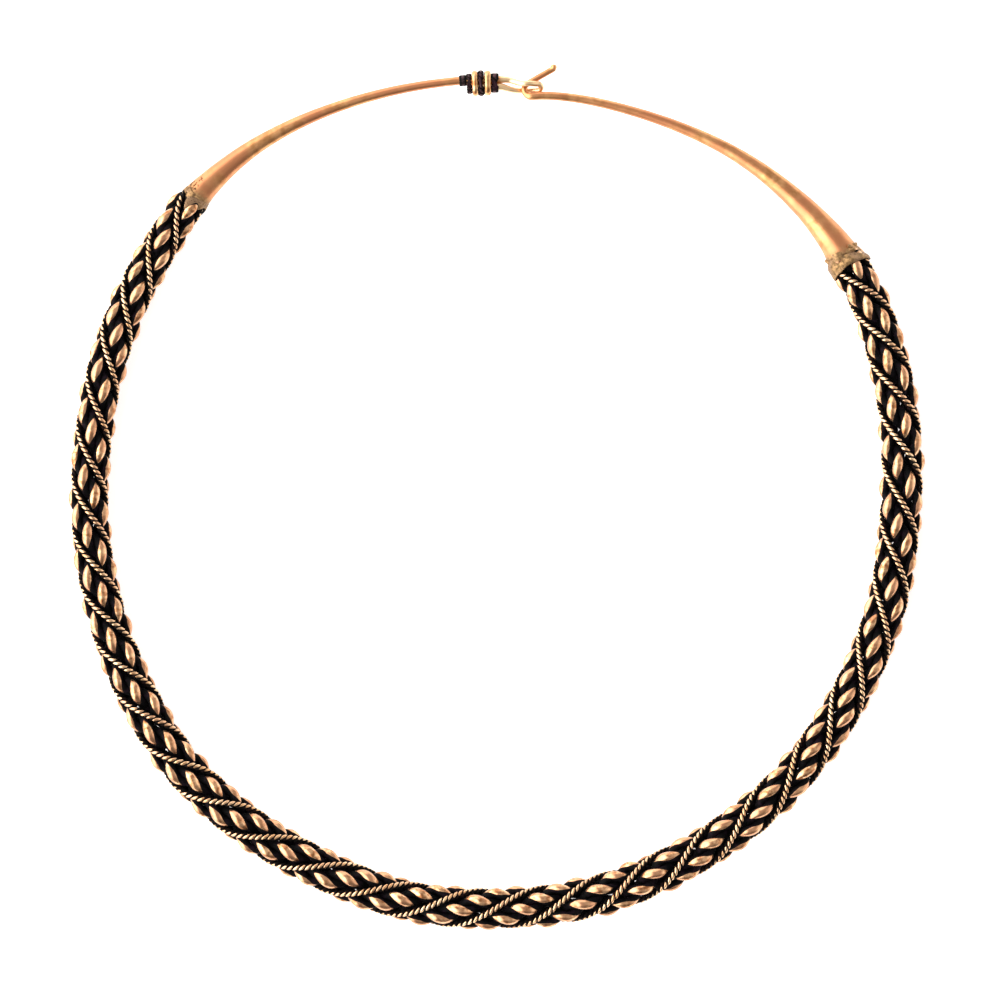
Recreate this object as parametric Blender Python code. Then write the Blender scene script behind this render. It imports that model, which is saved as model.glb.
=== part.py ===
"""A bronze torc, a neck ring that springs open, lying flat.

Three strands of two thick wires each are laid up left-handed, with a fine rope in each groove between
them. The braid ends in two plain tapering arms. The left arm's rod is bent back into a narrow eye, whose
end is bound to the rod by turns of rope and wire, and the right arm's rod ends in a hook through the eye.

Metres, with +Z up and +Y towards the clasp. The origin is under the middle of the ring's box.
"""

import math
from bisect import bisect_right

import bpy
from mathutils import Vector

MM = 0.001
UP = Vector((0.0, 0.0, 1.0))

# The ring's centre line: its radius at stations round it, as shares of RING_RADIUS, with the angle in
# degrees from +X. The ring was bent by hand, so it is not quite round.
RING_RADIUS = 72.3 * MM
RING_BEND = (
    (89.0, 1.0000),
    (98.0, 1.0008),
    (105.0, 1.0036),
    (112.0, 1.0088),
    (119.0, 1.0156),
    (126.0, 1.0208),
    (132.0, 1.0206),
    (138.0, 1.0168),
    (144.0, 1.0066),
    (150.0, 1.0006),
    (157.0, 0.9945),
    (172.0, 0.9843),
    (184.0, 0.9853),
    (196.0, 0.9887),
    (209.0, 0.9981),
    (221.0, 1.0099),
    (232.0, 1.0094),
    (244.0, 1.0078),
    (259.0, 1.0147),
    (269.0, 1.0111),
    (284.0, 1.0103),
    (299.0, 1.0033),
    (315.0, 0.9994),
    (333.0, 0.9904),
    (343.0, 0.9885),
    (355.0, 0.9835),
    (366.0, 0.9910),
    (378.0, 1.0050),
    (389.0, 1.0187),
    (398.0, 1.0210),
    (406.0, 1.0152),
    (414.0, 1.0060),
    (423.0, 0.9912),
    (430.0, 0.9815),
    (441.0, 0.9710),
    (446.0, 0.9605),
)
BRAID_START = 135.5
BRAID_END = 394.5

# The braid: wires, strands and ropes
WIRE_DIAMETER = 1.8 * MM
ROPE_DIAMETER = 1.2 * MM
STRANDS = 3
STRAND_GAP = 0.16 * MM  # air between neighbouring strands
ROPE_DEPTH = 0.28 * MM  # the ropes lie this far inside the strands' outermost surface
WIRE_LAY = 6.4 * MM  # one turn of the two wires round each other
# The strands lie looser at some places: the braid's thickness, by the share of its length
BRAID_THICKNESS = (
    (0.0, 0.87),
    (0.1, 0.95),
    (0.2, 0.955),
    (0.3, 1.04),
    (0.42, 1.02),
    (0.52, 1.01),
    (0.58, 1.05),
    (0.7, 0.99),
    (0.8, 1.02),
    (0.89, 1.06),
    (1.0, 0.94),
)
# How many ropes have passed over the top by each angle of the ring: the lay is short beside the arms
# and long at the front of the ring.
ROPE_PASSES = (
    (139.5, 0.0),
    (168.2, 4.0),
    (197.8, 8.0),
    (227.9, 12.0),
    (261.1, 16.0),
    (296.6, 20.0),
    (333.4, 24.0),
    (366.5, 28.0),
    (389.1, 31.0),
)
FIRST_CROWNS = (8.7 * MM, 16.6 * MM, 25.3 * MM)  # a crown of each strand, from the braid's start
STRAND_HALF_LENGTH = 0.9  # half the long and half the short side of a strand's section, in wires
STRAND_HALF_WIDTH = 0.46
WIRE_FLATS = 5  # sections for each turn of the two wires
ROPE_FLATS = 8  # sections for each turn of a rope round the ring

# The arms
LEFT_ARM_END = 5.0 * MM
RIGHT_ARM_END = 5.9 * MM
LEFT_FLARE = 16.5 * MM  # the length over which the arm's extra thickness falls to about a third
RIGHT_FLARE = 19.0 * MM
ROD_DIAMETER = 1.42 * MM
BRAID_GAP = 0.3 * MM  # between the braid's wires and the arms' end faces
ARM_STEP = 4.5 * MM
ARM_CROWDING = 1.25  # above 1, the sections stand closer beside the braid, where the arm swells most
ARM_SIDES = 8

# The eye, from the end of the binding
EYE_WIRE = 1.0 * MM
EYE_LENGTH = 7.4 * MM
EYE_DROP = 0.70 * MM  # the eye's middle lies this much nearer the ring's centre than its root does
EYE_HALF_WIDTH = 0.78 * MM  # at its widest, from the middle to either wire
EYE_END_GAP = 0.16 * MM  # between the two wires where they lie side by side at the eye's end
CLASP_GAP = 0.2 * MM  # between the hook and each wire of the eye
EYE_ROOT = 89.5
EYE_WIDEST_AT = 0.28  # shares of the eye's length: where it is widest, where its wires come together,
EYE_CLOSED_AT = 0.56
EYE_DROPPED_AT = 0.6  # where it has dropped,
EYE_CROSSING = 0.66  # where the hook passes between its wires, and how far to either side they part
EYE_PARTING = 0.42
EYE_STEPS = 9
EYE_TAIL = 5.0 * MM  # how far the bent-back wire runs along the rod, under the binding

# The hook, at the end of the right rod
HOOK_WIRE = 1.05 * MM
HOOK_ROOT = 84.8
HOOK_BEND_RADIUS = 1.2 * MM
HOOK_TIP_HEADING = 27.0
HOOK_TIP_LENGTH = 5.2 * MM
HOOK_TIP_DIAMETER = 1.08 * MM
HOOK_CURL_LENGTH = 0.6 * MM
HOOK_CURL = 28.0
HOOK_CURL_SHAPE = ((0.6, 1.0), (1.0, 0.55))  # shares of the curl's length and of the tip's diameter
HOOK_THINNING = 60.0  # the rod thins to the hook's wire over this much of the bend
HOOK_LIFT = 0.30 * MM  # a wire as thin as the hook's would pass the eye this far above the ring's middle
HOOK_FALL = 0.25 * MM  # and the tip lies this far below it
HOOK_RISE_LENGTH = 9.0 * MM

# The binding: its turns in order from the eye's root, each with its width along the rod and its thickness
BINDING_GAP = 0.08 * MM  # between two turns, and between a turn and what it holds
BINDING_TURNS = (
    ("binding_rope_4", 1.30 * MM, 0.34 * MM),
    ("binding_wire_2", 1.12 * MM, 0.82 * MM),
    ("binding_rope_3", 0.96 * MM, 0.88 * MM),
    ("binding_wire_1", 1.02 * MM, 0.85 * MM),
    ("binding_rope_2", 0.74 * MM, 0.50 * MM),
    ("binding_rope_1", 1.20 * MM, 0.42 * MM),
)
TURN_STEPS = 10
TURN_SIDES = 6

SMOOTH_ANGLE = 60.0  # faces that meet at less than this are shaded as one

# Worked out from the sizes above
ROD_RADIUS = ROD_DIAMETER / 2
EYE_RADIUS = EYE_WIRE / 2
HOOK_RADIUS = HOOK_WIRE / 2
HOOK_RISE = HOOK_LIFT + ROD_RADIUS - HOOK_RADIUS
STRAND_LAY_RADIUS = (2 * WIRE_DIAMETER + STRAND_GAP) / (2 * math.sin(math.pi / STRANDS))
BRAID_RADIUS = STRAND_LAY_RADIUS + WIRE_DIAMETER
ROPE_LAY_RADIUS = BRAID_RADIUS - ROPE_DEPTH - ROPE_DIAMETER / 2
TAIL_OFFSET = ROD_RADIUS + EYE_RADIUS + BINDING_GAP
BOUND_RADIUS = max(ROD_RADIUS, EYE_RADIUS)


def smooth(stations, place):
    """The value at a place, on a smooth curve through (place, value) stations."""
    places = [station[0] for station in stations]
    values = [station[1] for station in stations]
    last = len(stations) - 1

    def slope(index):
        before, after = max(index - 1, 0), min(index + 1, last)
        return (values[after] - values[before]) / (places[after] - places[before])

    left = min(max(bisect_right(places, place) - 1, 0), last - 1)
    width = places[left + 1] - places[left]
    t = (place - places[left]) / width
    if t < 0.0:
        return values[0] + slope(0) * (place - places[0])
    if t > 1.0:
        return values[last] + slope(last) * (place - places[last])
    start, end = values[left], values[left + 1]
    return (
        start * (1 + 2 * t) * (1 - t) ** 2
        + end * t * t * (3 - 2 * t)
        + width * (slope(left) * t * (1 - t) ** 2 - slope(left + 1) * t * t * (1 - t))
    )


def ramp(x):
    """0 up to x = 0, 1 from x = 1, with a soft rise between."""
    x = min(max(x, 0.0), 1.0)
    return x * x * (3 - 2 * x)


def ring_point(angle):
    """The point of the ring's centre line at an angle in degrees."""
    radius = RING_RADIUS * smooth(RING_BEND, angle)
    return Vector((radius * math.cos(math.radians(angle)), radius * math.sin(math.radians(angle)), 0.0))


def ring_frame(angle):
    """The centre line's point, its direction as the angle grows, and the direction away from the middle."""
    step = 0.05
    along = (ring_point(angle + step) - ring_point(angle - step)).normalized()
    return ring_point(angle), along, along.cross(UP)


def lengths(first, last, step=0.5):
    """(length, angle) stations along the centre line, from one angle to another."""
    count = round(abs(last - first) / step)
    table = [(0.0, first)]
    for index in range(1, count + 1):
        angle = first + (last - first) * index / count
        table.append((table[-1][0] + (ring_point(angle) - ring_point(table[-1][1])).length, angle))
    return table


def angle_at(table, length):
    """The angle at a length along a table of stations."""
    index = min(max(bisect_right(table, (length, 1e9)) - 1, 0), len(table) - 2)
    (start, first), (end, last) = table[index], table[index + 1]
    return first + (last - first) * (length - start) / (end - start)


def make_material(name, colour, roughness):
    """A Principled metal of one colour."""
    material = bpy.data.materials.new(name)
    material.use_nodes = True
    shader = material.node_tree.nodes["Principled BSDF"]
    shader.inputs["Base Color"].default_value = (*colour, 1.0)
    shader.inputs["Metallic"].default_value = 1.0
    shader.inputs["Roughness"].default_value = roughness
    return material


def skin(name, rings, material, closed=False):
    """One closed object through rings of points, with end caps, or joined end to end where it is closed."""
    sides = len(rings[0])
    points = [point for ring in rings for point in ring]
    faces = []
    for index in range(len(rings) if closed else len(rings) - 1):
        low, high = index * sides, (index + 1) % len(rings) * sides
        for side in range(sides):
            after = (side + 1) % sides
            faces.append((low + side, low + after, high + side))
            faces.append((low + after, high + after, high + side))
    if not closed:
        faces.append(tuple(reversed(range(sides))))
        faces.append(tuple(range(len(points) - sides, len(points))))
    mesh = bpy.data.meshes.new(name)
    mesh.from_pydata(points, [], faces)
    mesh.materials.append(material)
    mesh.shade_smooth()
    mesh.set_sharp_from_angle(angle=math.radians(SMOOTH_ANGLE))
    mesh.validate()
    piece = bpy.data.objects.new(name, mesh)
    bpy.context.scene.collection.objects.link(piece)
    return piece


def tube(name, points, radii, sides, material):
    """A round bar along a path, with a radius at each point."""
    last = len(points) - 1

    def heading(index):
        return (points[min(index + 1, last)] - points[max(index - 1, 0)]).normalized()

    rings = []
    across = heading(0).cross(UP).normalized()
    for index, (point, radius) in enumerate(zip(points, radii)):
        along = heading(index)
        across = (across - along * across.dot(along)).normalized()
        other = along.cross(across)
        ring = []
        for side in range(sides):
            turn = math.tau * (side + 0.5) / sides
            ring.append(point + radius * (math.cos(turn) * across + math.sin(turn) * other))
        rings.append(ring)
    return skin(name, rings, material)


def braid_place(table, length):
    """The centre line's point and outward direction, the lay angle and the share of full thickness."""
    angle = angle_at(table, length)
    point, _, out = ring_frame(angle)
    lay = math.radians(90.0) + math.tau / STRANDS * smooth(ROPE_PASSES, angle)
    return point, out, lay, smooth(BRAID_THICKNESS, length / table[-1][0])


def build_strand(number, table, material):
    """Two thick wires twisted right-handed, as one bar whose long section turns along the strand."""
    total = table[-1][0]
    steps = round(total / WIRE_LAY * WIRE_FLATS)
    long_half = WIRE_DIAMETER * STRAND_HALF_LENGTH
    short_half = WIRE_DIAMETER * STRAND_HALF_WIDTH
    rings = []
    for index in range(steps + 1):
        length = total * index / steps
        point, out, lay, thickness = braid_place(table, length)
        lay += math.tau * (number + 0.5) / STRANDS
        outward = math.cos(lay) * out + math.sin(lay) * UP
        sideways = math.cos(lay) * UP - math.sin(lay) * out
        twist = -math.tau * (length - FIRST_CROWNS[number]) / WIRE_LAY
        centre = point + STRAND_LAY_RADIUS * thickness * outward
        long_way = math.cos(twist) * outward + math.sin(twist) * sideways
        short_way = math.cos(twist) * sideways - math.sin(twist) * outward
        section = []
        for a, b in ((-1, -1), (-1, 1), (1, 1), (1, -1)):
            section.append(centre + thickness * (long_half * a * long_way + short_half * b * short_way))
        rings.append(section)
    return skin(f"strand_{number + 1}", rings, material)


def build_rope(number, table, material):
    """A fine rope in the groove between two strands, as a plain cord."""
    total = table[-1][0]
    turns = (smooth(ROPE_PASSES, BRAID_END) - smooth(ROPE_PASSES, BRAID_START)) / STRANDS
    steps = round(turns * ROPE_FLATS)
    points = []
    radii = []
    for index in range(steps + 1):
        point, out, lay, thickness = braid_place(table, total * index / steps)
        lay += math.tau * number / STRANDS
        outward = math.cos(lay) * out + math.sin(lay) * UP
        points.append(point + ROPE_LAY_RADIUS * thickness * outward)
        radii.append(ROPE_DIAMETER / 2 * thickness)
    return tube(f"groove_rope_{number + 1}", points, radii, 4, material)


def arm_path(first, last, end_diameter, flare):
    """Points and radii of an arm, from its thick end beside the braid to its thin rod."""
    table = lengths(first, last)
    total = table[-1][0]
    steps = round(total / ARM_STEP)
    points = []
    radii = []
    for index in range(steps + 1):
        length = BRAID_GAP + (total - BRAID_GAP) * (index / steps) ** ARM_CROWDING
        points.append(ring_point(angle_at(table, length)))
        swell = (math.exp(-length / flare) - math.exp(-total / flare)) / (1 - math.exp(-total / flare))
        diameter = ROD_DIAMETER + (end_diameter - ROD_DIAMETER) * swell
        radii.append(diameter / 2)
    return points, radii


def eye_route():
    """Points and radii of the eye's wire, out along the upper leg and back to its end under the binding."""
    root = ring_point(EYE_ROOT)
    out = root.normalized()
    onward = out.cross(UP)
    end_half = EYE_RADIUS + EYE_END_GAP / 2
    pass_half = EYE_RADIUS + HOOK_RADIUS + CLASP_GAP
    root_half = TAIL_OFFSET / 2
    bend_start = EYE_LENGTH - end_half

    def leg(distance, side):
        share = distance / EYE_LENGTH
        opening = ramp(share / EYE_WIDEST_AT)
        closing = ramp((share - EYE_WIDEST_AT) / (EYE_CLOSED_AT - EYE_WIDEST_AT))
        half = root_half + (EYE_HALF_WIDTH - root_half) * opening + (end_half - EYE_HALF_WIDTH) * closing
        middle = -root_half - EYE_DROP * ramp(share / EYE_DROPPED_AT)
        lift = pass_half * ramp(1.0 - abs(share - EYE_CROSSING) / EYE_PARTING)
        return root + onward * distance + out * (middle + side * half) + UP * (side * lift)

    places = [bend_start * (index + 1) / EYE_STEPS for index in range(EYE_STEPS)]
    points = [leg(place, 1.0) for place in places]
    middle = (leg(bend_start, 1.0) + leg(bend_start, -1.0)) / 2
    for turn in (45.0, 90.0, 135.0):
        angle = math.radians(turn)
        side = (leg(bend_start, 1.0) - middle) * math.cos(angle)
        points.append(middle + side + onward * end_half * math.sin(angle))
    points += [leg(place, -1.0) for place in reversed(places)]
    end, _, end_out = ring_frame(EYE_ROOT + math.degrees(EYE_TAIL / RING_RADIUS))
    tail = end - end_out * TAIL_OFFSET
    points += [leg(0.0, -1.0), (leg(0.0, -1.0) + tail) / 2, tail]
    return points, [EYE_RADIUS] * len(points)


def build_left_arm(material):
    """The left arm with its rod, and its wire bent back into the eye."""
    points, radii = arm_path(BRAID_START, EYE_ROOT, LEFT_ARM_END, LEFT_FLARE)
    eye_points, eye_radii = eye_route()
    radii[-1] = (radii[-2] + eye_radii[0]) / 2
    return tube("left_arm_with_eye", points + eye_points, radii + eye_radii, ARM_SIDES, material)


def hook_route():
    """Points and radii of the hook: a bend, a straight tip and a short curl at its end."""
    root, along, out = ring_frame(HOOK_ROOT + 360.0)
    bend = 180.0 - HOOK_TIP_HEADING
    centre = root + out * HOOK_BEND_RADIUS

    def heading(degrees):
        return math.sin(math.radians(degrees)) * out - math.cos(math.radians(degrees)) * along

    points = []
    radii = []
    for turn in (30.0, 60.0, 90.0, 120.0, bend):
        spoke = math.sin(math.radians(turn)) * along - math.cos(math.radians(turn)) * out
        height = HOOK_RISE - (HOOK_RISE + HOOK_FALL) * turn / bend
        points.append(centre + spoke * HOOK_BEND_RADIUS + UP * height)
        radii.append(ROD_RADIUS + (HOOK_RADIUS - ROD_RADIUS) * ramp(turn / HOOK_THINNING))
    start = points[-1]
    for share in (0.35, 0.7, 1.0):
        points.append(start + heading(HOOK_TIP_HEADING) * HOOK_TIP_LENGTH * share)
        radii.append(HOOK_RADIUS + (HOOK_TIP_DIAMETER / 2 - HOOK_RADIUS) * share)
    start = points[-1]
    for share, width in HOOK_CURL_SHAPE:
        points.append(start + heading(HOOK_TIP_HEADING + HOOK_CURL) * HOOK_CURL_LENGTH * share)
        radii.append(HOOK_TIP_DIAMETER / 2 * width)
    return points, radii


def build_right_arm(material):
    """The right arm, its rod, and the hook."""
    points, radii = arm_path(BRAID_END, HOOK_ROOT + 360.0, RIGHT_ARM_END, RIGHT_FLARE)
    root = points[-1]
    for point in points:
        point += UP * HOOK_RISE * ramp(1.0 - (root - point).length / HOOK_RISE_LENGTH)
    hook_points, hook_radii = hook_route()
    return tube("right_arm_with_hook", points + hook_points, radii + hook_radii, ARM_SIDES, material)


def build_turn(name, distance, width, thickness, material):
    """One turn of the binding, round the rod and, where it reaches, the bent-back wire beside it."""
    place, along, out = ring_frame(EYE_ROOT + math.degrees(distance / RING_RADIUS))
    half = TAIL_OFFSET / 2 if distance - width / 2 < EYE_TAIL else 0.0
    around = BOUND_RADIUS + BINDING_GAP + thickness / 2
    middle = place - out * half
    rings = []
    for index in range(TURN_STEPS):
        angle = -math.tau * (index + 0.5) / TURN_STEPS
        outward = math.cos(angle) * out + math.sin(angle) * UP
        centre = middle + out * math.copysign(half, math.cos(angle)) + outward * around
        ring = []
        for side in range(TURN_SIDES):
            turn = math.tau * side / TURN_SIDES
            ring.append(centre + (width * math.cos(turn) * along + thickness * math.sin(turn) * outward) / 2)
        rings.append(ring)
    return skin(name, rings, material, closed=True)


def stand_on_floor(pieces):
    """Moves the whole so that its box stands on the floor with its middle at the origin."""
    corners = [vertex.co for piece in pieces for vertex in piece.data.vertices]
    low = Vector([min(corner[axis] for corner in corners) for axis in range(3)])
    high = Vector([max(corner[axis] for corner in corners) for axis in range(3)])
    shift = Vector((-(low.x + high.x) / 2, -(low.y + high.y) / 2, -low.z))
    for piece in pieces:
        for vertex in piece.data.vertices:
            vertex.co += shift


def main():
    for old in list(bpy.data.objects):
        bpy.data.objects.remove(old)
    wire_metal = make_material("Bronze_wire", (0.62, 0.36, 0.16), 0.3)
    rope_metal = make_material("Bronze_rope", (0.45, 0.24, 0.11), 0.4)
    arm_metal = make_material("Bronze_arm", (0.70, 0.38, 0.19), 0.25)
    dark_metal = make_material("Dark_rope", (0.06, 0.04, 0.04), 0.5)
    table = lengths(BRAID_START, BRAID_END)
    pieces = [build_strand(number, table, wire_metal) for number in range(STRANDS)]
    pieces += [build_rope(number, table, rope_metal) for number in range(STRANDS)]
    pieces.append(build_left_arm(arm_metal))
    pieces.append(build_right_arm(arm_metal))
    edge = BINDING_GAP
    for name, width, thickness in BINDING_TURNS:
        metal = arm_metal if "wire" in name else dark_metal
        pieces.append(build_turn(name, edge + width / 2, width, thickness, metal))
        edge += width + BINDING_GAP
    stand_on_floor(pieces)


main()
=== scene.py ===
"""A bronze torc lying on a pale floor: its looks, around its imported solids.

Three strands of two thick round wires are laid up left-handed, with a fine rope in each groove between
them. Solder joins them to two plain tapering arms. The left arm's rod is bent back into a narrow eye that
turns of rope and wire bind, and the right arm's rod ends in a hook through the eye.

Lengths are in metres, +Z is up and +Y is towards the clasp. Angles are in degrees from +X unless a name
says radians.
"""

from __future__ import annotations

import logging
import math
from bisect import bisect_right
from dataclasses import dataclass, field
from enum import Enum
from typing import Sequence

import bpy
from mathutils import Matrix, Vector, noise

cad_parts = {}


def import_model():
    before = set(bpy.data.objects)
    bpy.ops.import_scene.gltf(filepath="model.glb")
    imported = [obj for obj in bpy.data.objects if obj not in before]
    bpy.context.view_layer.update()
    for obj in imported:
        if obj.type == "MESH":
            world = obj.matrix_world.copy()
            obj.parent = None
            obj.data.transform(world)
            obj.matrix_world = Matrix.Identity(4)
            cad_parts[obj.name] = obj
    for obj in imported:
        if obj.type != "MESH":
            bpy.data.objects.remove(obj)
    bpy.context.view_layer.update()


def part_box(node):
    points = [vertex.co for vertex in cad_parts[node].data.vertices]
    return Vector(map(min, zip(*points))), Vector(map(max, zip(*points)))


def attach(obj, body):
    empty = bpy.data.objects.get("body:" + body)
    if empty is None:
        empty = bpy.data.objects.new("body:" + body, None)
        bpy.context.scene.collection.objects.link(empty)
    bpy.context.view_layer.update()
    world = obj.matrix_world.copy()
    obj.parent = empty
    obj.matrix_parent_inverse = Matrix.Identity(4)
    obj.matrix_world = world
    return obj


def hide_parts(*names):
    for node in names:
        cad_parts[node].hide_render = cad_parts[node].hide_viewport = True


LOG = logging.getLogger("torc")
MM = 0.001
UP = Vector((0.0, 0.0, 1.0))
SOLDERED = 0.5  # solder covers a surface where its share passes this
Stations = Sequence[tuple[float, float]]
# What the wire tree reads at each point of a spine
SPINE_LAYERS = {
    "outward": "FLOAT_VECTOR",
    "sideways": "FLOAT_VECTOR",
    "reach": "FLOAT",
    "thickness": "FLOAT",
    "shade": "FLOAT",
}
# The wire tree's inputs, each with its kind of socket
WIRE_INPUTS = {
    "Spine": "Geometry",
    "Wires": "Int",
    "Sides": "Int",
    "Wire radius": "Float",
    "Lay radius": "Float",
    "Twist radius": "Float",
    "Twist length": "Float",
    "Twist start": "Float",
    "Twist hand": "Float",
    "Flatness": "Float",
    "Phase wobble": "Float",
    "Size wobble": "Float",
    "Wobble length": "Float",
    "Seed": "Float",
    "Crown half turn": "Float",
    "Crown half width": "Float",
    "Crown sharpness": "Float",
    "Crown skew": "Float",
    "Material": "Material",
}
MATH = "ShaderNodeMath"
VECTOR = "ShaderNodeVectorMath"
# The wire tree's sums: a value's name, its node and operation, and the values or numbers that it takes.
# The spine's layers and the tree's inputs are values too. The inputs, and what a wire keeps from before it
# is swept, are written with a capital.
WIRE_SUMS = (
    # Two slow waves along the spine: one turns the wires a little, one thickens them
    ("steps", MATH, "DIVIDE", "reach", "Wobble length"),
    ("line", MATH, "ADD", "steps", "Seed"),
    ("turning wave", MATH, "MULTIPLY_ADD", "turning cloud", 2.0, -1.0),
    ("sizing wave", MATH, "MULTIPLY_ADD", "sizing cloud", 2.0, -1.0),
    ("shake", MATH, "MULTIPLY", "turning wave", "Phase wobble"),
    ("size", MATH, "MULTIPLY_ADD", "sizing wave", "Size wobble", 1.0),
    ("radius", MATH, "MULTIPLY", "size", "thickness"),
    # How far round its strand's axis each wire has twisted
    ("run", MATH, "SUBTRACT", "reach", "Twist start"),
    ("turns", MATH, "DIVIDE", "run", "Twist length"),
    ("share", MATH, "DIVIDE", "copy", "Wires"),
    ("phase", MATH, "MULTIPLY_ADD", "turns", "Twist hand", "share"),
    ("twist", MATH, "MULTIPLY_ADD", "phase", math.tau, "shake"),
    ("cosine", MATH, "COSINE", "twist"),
    ("sine", MATH, "SINE", "twist"),
    # Each wire's axis: outward by the lay radius, then round by the twist
    ("out share", MATH, "MULTIPLY_ADD", "cosine", "Twist radius", "Lay radius"),
    ("side share", MATH, "MULTIPLY", "sine", "Twist radius"),
    ("out part", VECTOR, "MULTIPLY", "outward", "out share"),
    ("side part", VECTOR, "MULTIPLY", "sideways", "side share"),
    ("both parts", VECTOR, "ADD", "out part", "side part"),
    ("offset", VECTOR, "MULTIPLY", "both parts", "thickness"),
    # The crown's leaf: the polish fades along the wire, and the leaf's middle leans as the wire turns
    ("fold", MATH, "ARCCOSINE", "cosine"),
    ("fold share", MATH, "DIVIDE", "fold", "Crown half turn"),
    ("narrowing", MATH, "POWER", "fold share", "Crown sharpness"),
    ("fade", MATH, "ADD", "narrowing", "shade"),
    ("turn", MATH, "ARCTAN2", "sine", "cosine"),
    ("lean", MATH, "MULTIPLY", "turn", "Crown skew"),
    # The polish of the swept wires, from how far a point lies round its wire from the leaf's middle
    ("away", VECTOR, "SUBTRACT", "place", "Axis"),
    ("side spoke", VECTOR, "DOT_PRODUCT", "away", "Sideways"),
    ("out spoke", VECTOR, "DOT_PRODUCT", "away", "Outward"),
    ("tilt", MATH, "ARCTAN2", "side spoke", "out spoke"),
    ("aside", MATH, "SUBTRACT", "tilt", "Lean"),
    ("off leaf", MATH, "ABSOLUTE", "aside"),
    ("tilt share", MATH, "DIVIDE", "off leaf", "Crown half width"),
    ("spent", MATH, "ADD", "Fade", "tilt share"),
    ("polish", MATH, "SUBTRACT", 1.0, "spent"),
    # Flattening: each point's distance outward of the spine is scaled
    ("off spine", VECTOR, "SUBTRACT", "place", "Spine place"),
    ("proud", VECTOR, "DOT_PRODUCT", "off spine", "Outward"),
    ("squeeze", MATH, "SUBTRACT", "Flatness", 1.0),
    ("pressed", MATH, "MULTIPLY", "proud", "squeeze"),
    ("press", VECTOR, "MULTIPLY", "Outward", "pressed"),
)


class Hand(Enum):
    """Which way a rope is laid, as the sign of its turn along the ring."""

    LEFT = 1.0
    RIGHT = -1.0


class Side(Enum):
    """An arm's side of the clasp, as the sign of the ring's angle from the braid to the arm."""

    LEFT = -1.0
    RIGHT = 1.0


def linear(code: str) -> tuple[float, float, float, float]:
    """Turns an sRGB hex colour into a linear one.

    Args:
        code: six hex digits, with or without a leading hash.

    Returns:
        Red, green, blue and an alpha of 1, as the shader's colour sockets take them.
    """
    digits = code.lstrip("#")
    parts = [int(digits[index : index + 2], 16) / 255 for index in (0, 2, 4)]
    red, green, blue = [p / 12.92 if p <= 0.04045 else ((p + 0.055) / 1.055) ** 2.4 for p in parts]
    return red, green, blue, 1.0


def add_node(tree: bpy.types.NodeTree, kind: str, inputs: dict | None = None, **settings) -> bpy.types.Node:
    """Adds one node to a tree, with its settings, values and links.

    Args:
        tree: the node tree.
        kind: the node's type.
        inputs: for each input, by name or number, a value or the socket that feeds it.
        **settings: the node's own properties.

    Returns:
        The new node.
    """
    node = tree.nodes.new(kind)
    for name, value in settings.items():
        setattr(node, name, value)
    for key, value in (inputs or {}).items():
        if isinstance(value, bpy.types.NodeSocket):
            tree.links.new(value, node.inputs[key])
        else:
            node.inputs[key].default_value = value
    return node


def smooth(stations: Stations, place: float) -> float:
    """Reads a smooth curve through stations.

    Args:
        stations: places and values, in order of place.
        place: where to read it.

    Returns:
        The value there, carried on straight beyond the ends.
    """
    places = [station[0] for station in stations]
    values = [station[1] for station in stations]
    last = len(stations) - 1

    def slope(index: int) -> float:
        """Gives the curve's slope at a station."""
        before, after = max(index - 1, 0), min(index + 1, last)
        return (values[after] - values[before]) / (places[after] - places[before])

    left = min(max(bisect_right(places, place) - 1, 0), last - 1)
    width = places[left + 1] - places[left]
    t = (place - places[left]) / width
    if t < 0.0:
        return values[0] + slope(0) * (place - places[0])
    if t > 1.0:
        return values[last] + slope(last) * (place - places[last])
    start, end = values[left], values[left + 1]
    return (
        start * (1 + 2 * t) * (1 - t) ** 2
        + end * t * t * (3 - 2 * t)
        + width * (slope(left) * t * (1 - t) ** 2 - slope(left + 1) * t * t * (1 - t))
    )


def ramp(x: float) -> float:
    """Rises softly from 0 at x = 0 to 1 at x = 1."""
    x = min(max(x, 0.0), 1.0)
    return x * x * (3 - 2 * x)


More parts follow.
